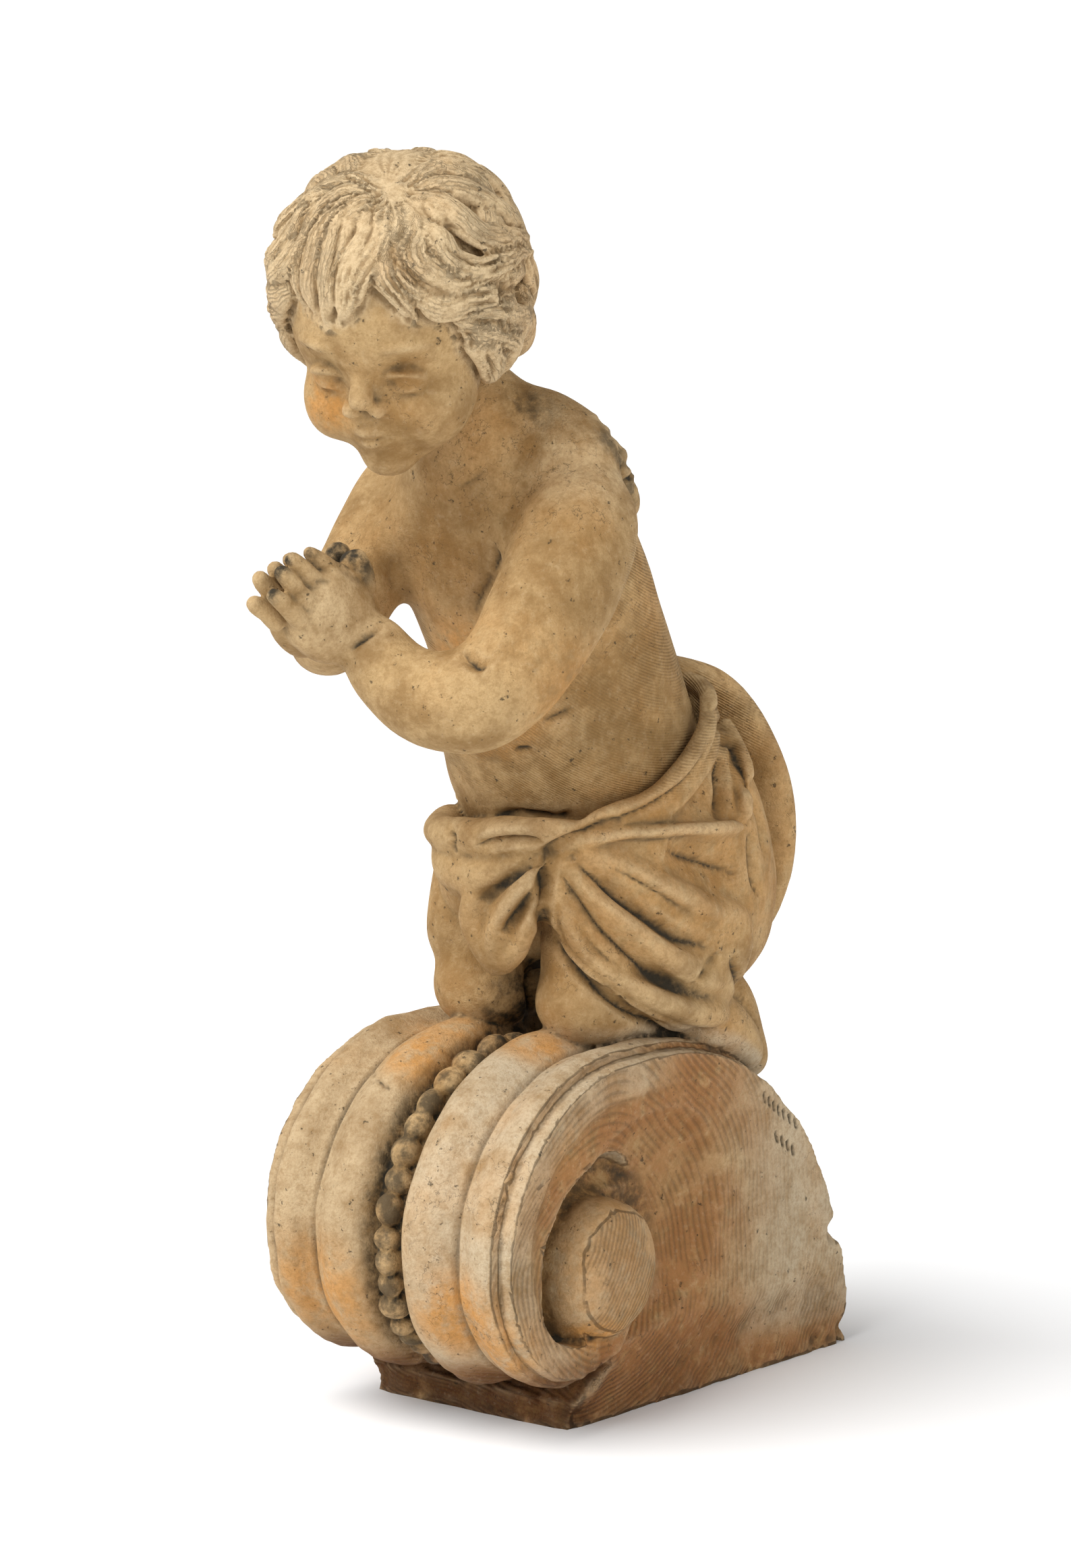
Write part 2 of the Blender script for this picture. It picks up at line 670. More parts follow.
# Fuller bunches over and behind the left ear.
BUNCHES = (
    ((36, -22, 28, 6), (44, -4, 22, 9), (46, 12, 16, 9), (42, 27, 14, 5)),
    ((42, 6, 0, 7), (43, 17, -9, 9), (38, 24, -24, 9), (30, 22, -34, 6)),
)
STRAND_PITCH = 3.4


def head_turn(context):
    sizes = context.scene.putto_clay
    return np.array(Euler((sizes.head_pitch, 0, sizes.head_yaw), "YXZ").to_matrix())


def face(bm):
    """The mass of an infant's head: high brow, full low cheeks, small chin."""
    w, d, h = HEAD
    blob(bm, (0, 2, 0.14 * h), (w, d, 0.84 * h), sides=40, rings=28)
    blob(bm, (0, -0.24 * d, -0.42 * h), (0.76 * w, 0.70 * d, 0.56 * h), sides=36, rings=24)
    blob(bm, (0, -0.58 * d, 0.26 * h), (0.68 * w, 0.37 * d, 0.40 * h), sides=32, rings=20)
    blob(bm, (0, -0.66 * d, -0.80 * h), (0.30 * w, 0.24 * d, 0.18 * h))
    blob(bm, (0, -0.78 * d, -0.52 * h), (0.34 * w, 0.17 * d, 0.21 * h))
    for side in (-1, 1):
        blob(bm, (side * 0.42 * w, -0.48 * d, -0.42 * h), (0.42 * w, 0.40 * d, 0.36 * h))


# Rings and stations of the lips, the left eyelids and the left brow.
UPPER_LIP = 28, (
    (-7.5, -46, -29.5, 2.2), (-3.5, -49.6, -27.4, 2.8), (0, -50.2, -28.2, 2.4), (3.5, -49.6, -27.4, 2.8),
    (7.5, -46, -29.5, 2.2),
)
LOWER_LIP = 24, ((-6, -46, -32, 2.2), (0, -49.4, -32.6, 3.2), (6, -46, -32, 2.2))
UPPER_LID = 32, (
    (8, -41.6, -5.6, 1.7), (12.5, -45.8, -1.4, 1.7), (18, -47, -0.2, 1.7), (23.5, -43.8, -2, 1.7),
    (27, -38.4, -6, 1.7),
)
LOWER_LID = 32, (
    (8.8, -41.8, -6.6, 1.2), (13.5, -44.4, -9, 1.2), (18.5, -44.6, -9.8, 1.2), (23.5, -41.6, -8.8, 1.2),
    (26.6, -38.2, -6.4, 1.2),
)
BROW_RIDGE = 24, ((8, -45.5, 9, 2.4), (16, -47, 12.5, 2.4), (25, -41.5, 11.5, 2.4), (31, -33.5, 7, 2.4))
MOUTH_LINE = ((-8.5, -46.5, -30.6), (-3, -51, -30), (3, -51, -30), (8.5, -46.5, -30.6))


def face_features(bm):
    """A short nose, a small full mouth and calm, lowered eyes."""
    w, d, h = HEAD
    nose = [(0, -0.86 * d, 0.08 * h, 4.5), (0, -0.93 * d, -0.11 * h, 5), (0, -1.01 * d, -0.25 * h, 6.6, 6.4)]
    limb(bm, nose, bluntness=3)
    for rings, lip in UPPER_LIP, LOWER_LIP:
        limb(bm, lip, Z_AXIS, sides=16, rings=rings, bluntness=3)
    for side in (-1, 1):
        blob(bm, (side * 17.5, -37.4, -4.4), (8.2, 8.2, 7.8))
        for rings, ridge in UPPER_LID, LOWER_LID, BROW_RIDGE:
            limb(bm, mirrored(ridge, side), Z_AXIS, sides=12, rings=rings, bluntness=3)
        blob(bm, (side * 0.135 * w, -0.925 * d, -0.285 * h), (4.2, 4.8, 3.4))
        ear = [(0.95 * w, 4, 5, 4), (1.01 * w, 11, -2, 5), (0.98 * w, 10, -14, 4.5), (0.93 * w, 2, -20, 4)]
        limb(bm, mirrored(ear, side), Y_AXIS)


def skull_point(around, down, lift):
    a, d = math.radians(around), math.radians(down)
    outward = math.cos(d) * CROWN + math.sin(d) * (math.cos(a) * BROW + math.sin(a) * X_AXIS)
    return HAIR_CENTRE + outward * (SKULL + lift)


def on_skull(context, drawn):
    """The (around, down) degrees, to the nearest one, at which the camera sees a pixel of the hair."""
    turn = head_turn(context)
    reach = SKULL + DRAWN_LIFT
    eye, ahead = (np.array(part) for part in sight_line(context.scene.putto_stage, *drawn))
    start = ((eye - HEAD_CENTRE) @ turn - HAIR_CENTRE) / reach
    along = ahead @ turn / reach
    a, b, c = along @ along, start @ along, start @ start - 1
    place = (start - along * (b + math.sqrt(b * b - a * c)) / a) * reach
    around = math.atan2(place[0], place @ BROW)
    down = math.acos(place @ CROWN / np.linalg.norm(place))
    return round(math.degrees(around)), round(math.degrees(down))


def hair_locks(context):
    """Every lock as stations on the skull: the brow's, both sides' and the rows down the back."""
    rng = np.random.default_rng(11)
    brow_locks, side_locks = (
        [[*(on_skull(context, point) for point in drawn), *hidden] for drawn, hidden in locks]
        for locks in (BROW_LOCKS, SIDE_LOCKS)
    )
    runs = [(run, *BROW_LOCK, 0.0) for run in brow_locks]
    for side in (1, -1):
        for run, flick in zip(side_locks, SIDE_FLICKS):
            drift = 0 if side > 0 else rng.uniform(-5, 5)
            runs.append(([(side * a + drift, d) for a, d in run], *SIDE_LOCK, flick))
    for count, top, end, spread, first in BACK_ROWS:
        for i in range(count):
            middle = 180 + first + i * spread + rng.uniform(-4, 4)
            if abs((middle + 180) % 360 - 180) < 78:
                continue
            sway = rng.uniform(5, 9) * rng.choice((-1, 1))
            drops = np.linspace(top, end, 6)
            run = [(middle + sway * math.sin(k * 1.5), drop) for k, drop in enumerate(drops)]
            runs.append((run, *BACK_LOCK, 2.0))
    for run, width, thick, lift, flick in runs:
        shares = np.linspace(0, 1, len(run))
        yield [
            (
                *skull_point(a, d, lift + 1.6 * math.sin(math.pi * t) + flick * t * t),
                width * (1 - 0.55 * t**3), thick * (1 - 0.4 * t**3),
            )
            for (a, d), t in zip(run, shares)
        ]


def hair_forms(bm, context):
    """The mass of the hair, its locks and the fuller bunches at the sides."""
    blob(bm, HAIR_CENTRE + CROWN * 4.5, SKULL + (1.0, 1.0, 1.0), sides=40, rings=28)
    for stations in hair_locks(context):
        limb(bm, stations, sides=20, rings=36, bluntness=3, away=HAIR_CENTRE)
    for side in (-1, 1):
        for run in BUNCHES:
            limb(bm, mirrored(run, side), bluntness=3)


class PUTTO_OT_head(bpy.types.Operator):
    """Models the head, its face and the mass of the hair"""

    bl_idname = "putto.head"
    bl_label = "Model the head"

    def execute(self, context):
        bm = bmesh.new()
        face(bm)
        made = new_object("head_clay", bm)
        fused(made, COARSE["face"])
        places = relaxed(places_of(made.data), edges_of(made.data), 0.5, 40)
        for side in (-1, 1):
            hollow(places, (side * 17, -47, -2), 15, (-side * 0.15, 1, -0.1), 5.0)
        set_places(made.data, places)
        bm = bmesh.new()
        bm.from_mesh(made.data)
        face_features(bm)
        bm.to_mesh(made.data)
        bm.free()
        fused(made, COARSE["features"])
        places = relaxed(places_of(made.data), edges_of(made.data), 0.5, 5)
        set_places(made.data, places)
        normals = normals_of(made.data)
        stroke(places, normals, MOUTH_LINE, 2.6, -1.6)
        set_places(made.data, places)
        bm = bmesh.new()
        bm.from_mesh(made.data)
        hair_forms(bm, context)
        bm.transform(Matrix.Translation(HEAD_CENTRE) @ Matrix(head_turn(context)).to_4x4())
        bm.to_mesh(made.data)
        bm.free()
        return {"FINISHED"}


# The cloth


KNOT = (30, -75, 253)
# The wrap round the hips, the apron before it, and the sheet that the fan of folds lies on.
WRAP = (
    (0, -4, 290, 56, 52), (3, 6, 258, 61, 62), (6, 14, 224, 63, 68), (8, 22, 192, 58, 62), (8, 28, 166, 46),
)
APRON = (
    (-52, -34, 236, 20, 11), (-30, -60, 234, 24, 12), (0, -68, 236, 24, 12), (28, -67, 238, 22, 12),
    (50, -44, 240, 24, 12), (58, -8, 236, 34, 12), (52, 30, 230, 38, 12),
)
FAN = (
    (32, -70, 246, 8, 9), (43, -60, 229, 19, 10), (53, -44, 212, 27, 11), (59, -20, 198, 33, 11),
    (59, 6, 188, 30, 12), (54, 24, 184, 24, 12),
)
FAN_ACROSS = (0.28, 0.42, 0.86)
# Clay under both feet.
FOOT_PADS = (
    ((40, -10, 166, 25, 17), (42, 14, 162, 25, 17), (43, 33, 150, 21, 13), (42, 48, 134, 18, 10)),
    ((-34, 0, 160, 24, 14), (-37, 26, 150, 22, 15), (-38, 44, 134, 17, 11)),
)
# The rolled waistband: before the belly, over the right hip, and its two strands over the left hip.
FRONT_ROLL = (
    (-52, -36, 252, 9, 10), (-36, -64, 250, 8, 10), (-10, -78, 253, 8, 9), (12, -81, 257, 8, 9),
    (32, -76, 259, 6.5, 8), (46, -66, 262, 5, 6),
)
RIGHT_ROLL = ((-56, -30, 254, 8, 10), (-52, 2, 276, 7, 9), (-34, 32, 298, 6, 8), (0, 44, 306, 6, 8))
BAND = (
    (
        (36, -78, 255, 5), (48, -66, 265, 5), (59, -46, 270, 5), (64, -27, 280, 5), (64, -7, 294, 4.6),
        (56, 8, 303, 4.6), (36, 32, 308, 5), (0, 44, 310, 5),
    ),
    (
        (36, -79, 252, 4), (48, -67, 259, 4.6), (58, -46, 262, 4.6), (63, -26, 270, 4.6), (63, -5, 283, 4.4),
        (56, 11, 292, 4.4), (36, 34, 299, 5), (0, 46, 301, 5),
    ),
)
# Crest lines of the fan of folds that spreads from the knot, and of the hem.
FOLDS = (
    ((42, -73, 252, 4), (54, -57, 244, 7), (65, -36, 231, 9), (69, -12, 217, 10), (70, 22, 210, 8)),
    (
        (40, -73, 248, 4), (48, -66, 234, 6.5), (58, -54, 218, 8), (67, -38, 203, 8.5), (71, -18, 190, 8),
        (71, 2, 184, 6),
    ),
    (
        (35, -76, 245, 4), (36, -72, 224, 6), (43, -66, 207, 7), (53, -54, 194, 8), (64, -38, 183, 8),
        (69, -5, 171, 7.5), (64, 12, 166, 6),
    ),
)
# Thin edges of the fan and the hip, the billow behind, and the tail below the knot.
EDGES = (
    ((42, -74, 255, 3), (51, -60, 258, 3.4), (61, -37, 257, 3.8), (69, -13, 255, 4), (71, 14, 252, 4)),
    ((34, 48, 292, 4), (58, 30, 274, 4.5), (68, 17, 254, 4.5)),
)
BILLOW = (
    (4, 30, 318, 20, 6), (8, 58, 302, 27, 10), (12, 80, 268, 30, 11), (14, 88, 232, 30, 12),
    (16, 80, 200, 26, 12), (20, 56, 178, 20, 10),
)
TAIL = ((*KNOT, 5), (18, -80, 228, 11, 6), (8, -78, 208, 12, 7), (3, -73, 192, 6, 5))
TAIL_CRESTS = (
    ((33, -80, 249, 4), (24, -86, 237, 5), (14, -89, 223, 5), (7, -88, 211, 4.5), (3, -79, 194, 3.5)),
    ((31, -79, 242, 4), (27, -82, 226, 4.5), (18, -84, 208, 4.5), (4, -79, 194, 3)),
)
TAIL_FLAP = ((-4, -78, 234, 8, 5), (-6, -81, 218, 9, 5), (-2, -79, 204, 8, 5), (2, -74, 191, 5, 4))
RIGHT_FOLD = ((*KNOT, 5), (0, -80, 238, 8, 7), (-30, -69, 236, 10, 7), (-52, -42, 244, 7, 8))


def crest(bm, rows, sink=0.6, sides=20, rings=48):
    """A fold whose crest runs along the rows, sunk into the cloth below it."""
    stations = []
    for x, y, z, radius in rows:
        inward = normalised(np.array([6.0 - x, 12.0 - y, 0.0])) * radius * sink
        stations.append((x + inward[0], y + inward[1], z, radius))
    limb(bm, stations, Z_AXIS, sides=sides, rings=rings)


class PUTTO_OT_cloth(bpy.types.Operator):
    """Models the carved cloth: wrap, rolled waistband, fan of folds, tail and billow"""

    bl_idname = "putto.cloth"
    bl_label = "Model the cloth"

    def execute(self, context):
        bm = bmesh.new()
        limb(bm, WRAP, sides=48, rings=32, bluntness=6)
        limb(bm, APRON, Z_AXIS, sides=36, rings=48)
        limb(bm, FAN, FAN_ACROSS, sides=36, rings=48, bluntness=5)
        for pad in FOOT_PADS:
            limb(bm, pad)
        limb(bm, FRONT_ROLL, Z_AXIS, rings=48, bluntness=6)
        limb(bm, RIGHT_ROLL, Z_AXIS, rings=40)
        for run in (*BAND, *FOLDS):
            crest(bm, run)
        for run in EDGES:
            crest(bm, run, sink=0.2)
        limb(bm, BILLOW, rings=40)
        limb(bm, TAIL)
        for run in TAIL_CRESTS:
            crest(bm, run, sink=0.7)
        limb(bm, TAIL_FLAP)
        limb(bm, RIGHT_FOLD, Z_AXIS)
        made = new_object("cloth_clay", bm)
        fused(made, COARSE["cloth"])
        set_places(made.data, relaxed(places_of(made.data), edges_of(made.data), 0.5, 4))
        return {"FINISHED"}


# Tooling and firing


# The step along a stroke drawn in the picture, in pixels, and the gap in millimetres that shows a jump to
# another form.
DRAWN_STEP = 31
JUMP = 34
# Tool strokes as width, height and a path drawn in the picture. A negative height sinks the clay.
VALLEYS = (
    (6, -6, ((843, 1266), (869, 1295), (940, 1347), (1007, 1392), (1067, 1410))),
    (6, -6, ((827, 1280), (843, 1317), (888, 1380), (948, 1436), (1015, 1470), (1067, 1485))),
    (13, -7, ((985, 1258), (1037, 1276), (1096, 1295))),
    (5, -4, ((1022, 1280), (1067, 1295), (1096, 1293))),
    (6, -7, ((1067, 1116), (1069, 1168), (1071, 1217))),
    (6, -5, ((1113, 1228), (1117, 1280), (1126, 1332))),
    (7, -5, ((1037, 1019), (1067, 1071), (1104, 1146), (1128, 1213), (1137, 1280))),
    (4, -2.2, ((895, 1278), (962, 1313), (1029, 1358))),
    (4, -2.2, ((843, 1347), (881, 1406), (940, 1451))),
    (6, -4, ((1070, 1410), (1048, 1444), (1022, 1462))),
    (5, -4, ((1083, 1418), (1096, 1451), (1104, 1485))),
)
KNOT_STROKES = (
    (5, -11, ((706, 1255), (743, 1248), (780, 1246), (806, 1252))),
    (5, -5, ((780, 1291), (810, 1265), (843, 1241), (877, 1225), (918, 1211))),
    (6, -8, ((820, 1258), (811, 1280), (806, 1310), (802, 1343), (801, 1384))),
    (5, -5, ((793, 1317), (773, 1347), (743, 1386))),
    (5, -3, ((795, 1276), (754, 1306), (706, 1336))),
    (6, -7, ((801, 1399), (793, 1436), (788, 1473), (796, 1526))),
    (4, -5, ((732, 1208), (765, 1205), (814, 1212), (869, 1211))),
    (4, -5, ((815, 1377), (843, 1427), (903, 1482), (970, 1524), (1026, 1543))),
    (3.5, -2.6, ((866, 1229), (918, 1213), (970, 1192), (1015, 1161), (1041, 1125), (1058, 1086))),
    (4, -3, ((678, 1207), (666, 1243), (674, 1265))),
)
CRESTS = (
    (9, 3.5, ((851, 1260), (918, 1284), (992, 1321), (1059, 1351), (1126, 1356))),
    (8, 3.5, ((843, 1272), (881, 1321), (933, 1373), (992, 1418), (1044, 1451))),
    (8, 3, ((825, 1284), (836, 1347), (866, 1406), (918, 1455), (992, 1492), (1067, 1514))),
    (4, 2.5, ((812, 1302), (821, 1369), (855, 1418), (914, 1470), (985, 1509), (1044, 1532))),
    (4, 3.5, ((866, 1249), (918, 1235), (977, 1231), (1044, 1228), (1102, 1223))),
    (7, 2.5, ((709, 1235), (747, 1226), (799, 1222), (851, 1228))),
    (5, 1.5, ((806, 1271), (780, 1310), (743, 1354), (729, 1386))),
    (5, 1.5, ((803, 1302), (791, 1351), (765, 1395))),
    (5, 3.5, ((1072, 1083), (1100, 1146), (1108, 1217))),
)
SKIN_CREASES = (
    (3.2, -2.4, ((503, 988), (514, 971), (532, 952), (550, 940), (567, 930))),
    (5, -4.5, ((687, 965), (700, 980), (721, 992))),
    (4, -2.4, ((732, 807), (737, 826), (730, 850))),
    (5, -2.5, ((729, 850), (714, 880), (702, 913))),
    (4, -2.5, ((730, 1110), (754, 1113), (790, 1108))),
    (4, -2, ((802, 1071), (826, 1060), (850, 1048))),
    (6, -1.8, ((670, 730), (700, 712), (730, 689))),
    (4, -1.4, ((427, 904), (448, 877), (478, 859), (505, 863))),
    (8, -1.5, ((580, 820), (580, 862), (593, 892))),
)
HAIR_PARTINGS = (
    (7, -6, ((736, 431), (760, 428), (783, 431))),
    (4, -3, ((682, 491), (697, 503), (700, 521))),
    (4, -2.5, ((562, 281), (551, 299), (557, 329), (532, 371))),
    (4, -2.5, ((577, 350), (586, 386), (622, 422), (670, 437))),
    (5, -2.5, ((622, 302), (652, 332), (694, 344))),
    (4, -2.5, ((697, 473), (736, 476), (766, 488))),
    (3.5, -2.5, ((723, 518), (729, 542), (728, 563))),
    (4, -2.2, ((460, 290), (445, 320), (433, 362))),
    (3.5, -2.2, ((514, 308), (499, 344), (493, 386), (487, 428))),
    (3.5, -2, ((652, 359), (688, 386), (730, 392), (772, 380))),
)
ROLL_CRACK = ((2.2, -1.6, ((550, 1586), (565, 1604), (582, 1617))),)
DRAWN_STROKES = (*VALLEYS, *KNOT_STROKES, *CRESTS, *SKIN_CREASES, *HAIR_PARTINGS, *ROLL_CRACK)
# Strokes of the back and the right side as width, height and points near the clay.
BACK_STROKES = (
    (7, -4, ((-50, 8, 272), (-57, 12, 250), (-61, 6, 224), (-56, -10, 204))),
    (8, -4.5, ((-40, 34, 288), (-50, 44, 262), (-55, 42, 232), (-52, 26, 204))),
    (8, -4.5, ((-14, 46, 300), (-26, 64, 268), (-34, 70, 238), (-36, 62, 206))),
    (8, 3, ((-46, 22, 280), (-55, 28, 256), (-59, 24, 228), (-55, 8, 204))),
    (8, 3, ((-28, 42, 294), (-39, 56, 264), (-46, 58, 236), (-45, 46, 206))),
    (7, -4, ((38, 40, 292), (46, 58, 262), (46, 64, 232), (40, 60, 204))),
    (7, -3, ((-6, 62, 300), (-4, 88, 268), (-2, 98, 232), (2, 90, 200))),
    (7, -3, ((26, 62, 298), (32, 86, 268), (34, 96, 232), (34, 86, 200))),
)


def laid_on_clay(clay, stage, drawn):
    """A drawn path laid on the clay along the camera's line of sight, cut where it jumps to a form behind."""
    drawn = np.array(drawn, float)
    run = np.concatenate([[0], np.cumsum(np.linalg.norm(np.diff(drawn, axis=0), axis=1))])
    marks = np.linspace(0, run[-1], max(3, round(run[-1] / DRAWN_STEP) + 1))
    pieces = [[]]
    for across, down in zip(np.interp(marks, run, drawn[:, 0]), np.interp(marks, run, drawn[:, 1])):
        hit = clay.ray_cast(*sight_line(stage, across, down))[0]
        if hit is None:
            continue
        if pieces[-1] and (hit - pieces[-1][-1]).length > JUMP:
            pieces.append([])
        pieces[-1].append(hit)
    return max(pieces, key=len)


# Two rows of marks as the first one's (y, z) and their count. Their spacing, and their slope.
MARK_ROWS = (((33, 129), 7), ((43, 109), 4))
MARK_STEP = (0.0, 3.9, -2.7)
MARK_SLOPE = (0.0, 0.25, -1.0)
# Sideways places of the grooves between the toes.
TOE_GAPS = (28, 33.5, 38.5, 43)
# Width, height and taper of the marks and of the grooves.
MARK_CUT = (1.9, -1.5, 6.0)
TOE_CUT = (3.0, -3.0, 6.0)
# Chips of the left side as y, z, radius and depth.
CHIPS = ((90, 53, 9, 5), (81, 89, 6, 2.5), (99, 5, 10, 3.5), (77, 4, 7, 2.5), (46, 133, 6, 2))


def side_marks():
    """Two rows of short parallel strokes, scratched into the left side near its back edge."""
    step, slope = np.array(MARK_STEP), np.array(MARK_SLOPE)
    for (y, z), count in MARK_ROWS:
        for i in range(count):
            top = np.array([SIDE, y, z]) + i * step
            yield [top, top + 3 * slope, top + 6 * slope]


def toe_lines():
    """Grooves between the toes of both feet."""
    for x in TOE_GAPS:
        for side in (-1, 1):
            yield [(side * x, 57, 147), (side * x, 60, 138), (side * x, 58, 130)]


def chips(places):
    """Knocks along the back edge of the left side and at the corners of the foot."""
    for y, z, radius, depth in CHIPS:
        hollow(places, (SIDE, y, z), radius, (-1, -0.8, 0), depth)
    for side in (-1, 1):
        corner = (side * FOOT["width"] / 2, -FOOT["depth"] / 2, 6)
        hollow(places, corner, 12, (-side, 0.8, 0.2), 4)


def strand_lines(places, context):
    """Reads the hair near every place.

    Returns the distance across the nearest lock, how near its edge that is, where locks and cap strands lie,
    and where the hair is.
    """
    unit = ball(20, 40)[1]
    points, across, edge = [], [], []
    for stations in hair_locks(context):
        surface, sideways = limb_surface(unit, stations, bluntness=3, away=HAIR_CENTRE)
        points.append(surface)
        across.append(sideways)
        edge.append(np.abs(unit[:, 0]) / np.maximum(np.hypot(unit[:, 0], unit[:, 1]), 1e-9))
    points, across, edge = np.concatenate(points), np.concatenate(across), np.concatenate(edge)
    tree = kdtree.KDTree(len(points))
    for i, point in enumerate(points):
        tree.insert(point, i)
    tree.balance()
    local = (places - HEAD_CENTRE) @ head_turn(context)
    near = np.flatnonzero(np.linalg.norm(local - HAIR_CENTRE, axis=1) < 80)
    found = [tree.find(point) for point in local[near]]
    nearest = [hit[1] for hit in found]
    phase, brink, cover, cap = (np.zeros(len(places)) for _ in range(4))
    outward = normalised(local[near] - HAIR_CENTRE)
    uneven = ripple(local[near], 22, 3)
    phase[near] = across[nearest] + 1.1 * uneven
    brink[near] = edge[nearest]
    cover[near] = 1 - smoothstep(np.array([hit[2] for hit in found]), 2.0, 5.0)
    whorl = normalised(skull_point(*WHORL, 0) - HAIR_CENTRE)
    beside = normalised(np.cross(whorl, X_AXIS))
    around = np.arctan2(outward @ np.cross(whorl, beside), outward @ beside)
    cap[near] = np.cos(38 * around + 2.5 * uneven) * smoothstep(1 - outward @ whorl, 0.002, 0.03) * 0.5
    hair = cover.copy()
    hair[near] = np.maximum(cover[near], smoothstep(outward @ CROWN, 0.25, 0.4))
    return phase, brink, cover, cap, hair


def comb_hair(places, normals, context):
    """Tools fine strands along every lock and returns where the hair is."""
    phase, _, cover, cap, hair = strand_lines(places, context)
    depth = context.scene.putto_clay.strand
    strands = np.cos(2 * math.pi * phase / STRAND_PITCH) * (0.6 + 0.4 * ripple(places, 30, 13))
    places += normals * (hair * depth * (cover * strands + (1 - cover) * cap))[:, None]
    return hair


def roughen(places, normals):
    """Leaves the clay uneven: a thumbed surface all over, a ragged foot and torn wing stumps."""
    x, _, z = places.T
    lump = 0.35 * ripple(places, 26, 1)
    foot = smoothstep(46 - z, 0, 20) * smoothstep(z, 0.5, 3)
    lump += foot * (0.6 * ripple(places, 19, 2) + 0.2 * ripple(places, 8, 5))
    flank = smoothstep(np.abs(x), 52, 60) * smoothstep(172 - z, 0, 10)
    lump += flank * (0.35 * ripple(places, 22, 6) + 0.12 * ripple(places, 9, 8))
    for side, back in WING_SETBACK.items():
        stump = np.linalg.norm((places - (side * 50, -55 + back, 419)) / (1.0, 1.2, 1.8), axis=1)
        torn = 0.9 * ripple(places, 9, 4) + 0.45 * ripple(places, 4.5, 9) - 0.5
        lump += (1 - smoothstep(stump, 11, 17)) * torn
    places += normals * lump[:, None]


def rest_on_floor(mesh):
    places = places_of(mesh)
    low = places[:, 2] < 0.8
    places[low, 2] = 0.0
    set_places(mesh, places)


def spots(places, centres):
    """Soft round patches as (x, y, z, radius)."""
    total = np.zeros(len(places))
    for *centre, radius in centres:
        away = np.linalg.norm(places - centre, axis=1)
        total = np.maximum(total, 1 - smoothstep(away, 0.3 * radius, radius))
    return total


def hollow_marks(mesh, places, edges, hair):
    """Where dirt settles and edges wear, and where the hair is."""
    normals = normals_of(mesh)
    fine = relaxed(places, edges, 0.5, 6)
    broad = relaxed(fine, edges, 0.5, 40)
    hollowed = np.einsum("ij,ij->i", fine - places, normals)
    deep = np.einsum("ij,ij->i", broad - places, normals)
    dirt = np.clip((hollowed - 0.06) / 0.42, 0, 1) + np.clip((deep - 2.2) / 3.5, 0, 1) * 0.7
    dirt *= 1 - 0.55 * hair
    shade = np.clip(deep / 3.0, 0, 1) + hair * np.clip(hollowed / 0.28, 0, 1)
    wear = np.clip(-hollowed / 0.5, 0, 1) * 0.6 + np.clip(-deep / 3.5, 0, 1) * 0.4
    marks = {"dirt": dirt, "shade": shade, "wear": wear, "hair": hair}
    return {name: np.clip(values, 0, 1) for name, values in marks.items()}


# Patches of the fired clay as (x, y, z, radius): warm flush, darkened skin, dirt and pale, worn skin.
FLUSH_SPOTS = (
    (57, -128, 340, 40), (0, -90, 320, 46), (-36, -168, 52, 50), (58, -152, 40, 36), (-20, -70, 168, 36),
    (20, -70, 168, 26), (-14, -172, 452, 20), (50, -110, 128, 30), (-18, -104, 158, 26), (26, -80, 168, 24),
    (40, -150, 60, 34), (66, -92, 44, 24),
)
PATINA_SPOTS = (
    (40, -40, 318, 62), (0, -102, 385, 44), (-36, -70, 380, 50), (-16, -70, 200, 46), (28, -60, 184, 34),
    (26, -96, 446, 18), (0, -150, 500, 40), (22, -80, 224, 22), (-4, -168, 384, 12), (44, 40, 150, 28),
    (80, -115, 384, 44),
)
DIRT_SPOTS = ((0, -52, 172, 30), (-4, -70, 222, 18), (-8, -162, 384, 16), (-22, -156, 386, 16))
STUMP_DIRT_SPOTS = (
    (48, -46, 412, 20), (48, -58, 428, 14), (56, -69, 431, 9), (58, -65, 423, 8), (58, -57, 415, 8),
    (32, -90, 448, 16),
)
WORN_SPOTS = ((58, -80, 426, 44), (-4, -178, 364, 30), (60, -50, 62, 20))
# Radius of the dirt on a broken finger end.
FINGERTIP = 9


def bracket_zones(places, normals):
    """Shares of the bracket's parts at every place, and its distances from the edge and the boss."""
    x, y, z = places.T
    turn = np.arctan2(EYE[0] - y, EYE[1] - z) % (2 * math.pi)
    edge = scroll_radius(turn) - np.hypot(y - EYE[0], z - EYE[1])
    reach = np.hypot(y - BOSS[0], z - BOSS[1])
    width = np.abs(x)
    low = smoothstep(176 - z, 0, 12) * smoothstep(edge, -13, -9)
    flank = smoothstep(np.abs(normals[:, 0]), 0.55, 0.85) * smoothstep(width, 44, 52)
    flank *= low * smoothstep(edge, -4, -1)
    knob = (1 - smoothstep(reach, 33, 37)) * smoothstep(width, 44, 50)
    sunk = low * smoothstep(62 - width, 0, 7)
    string = low * (1 - smoothstep(width, 9, 13)) * smoothstep(z, 10, 20)
    return {
        "edge": edge, "reach": reach, "low": low, "flank": flank, "knob": knob,
        "eye": 1 - smoothstep(reach, 28, 33),
        "sunk": sunk * smoothstep(reach, 27, 31) * (1 - smoothstep(reach, 44, 52)),
        "foot": smoothstep(42 - z, 0, 20) * (1 - smoothstep(np.abs(y + FOOT["depth"] / 2), 60, 110) * 0.3),
        "rolled": low * (1 - flank) * (1 - knob) * smoothstep(z, 14, 40) * smoothstep(width, 6, 14),
        "string": string * (1 - smoothstep(y, -50, -20)),
    }


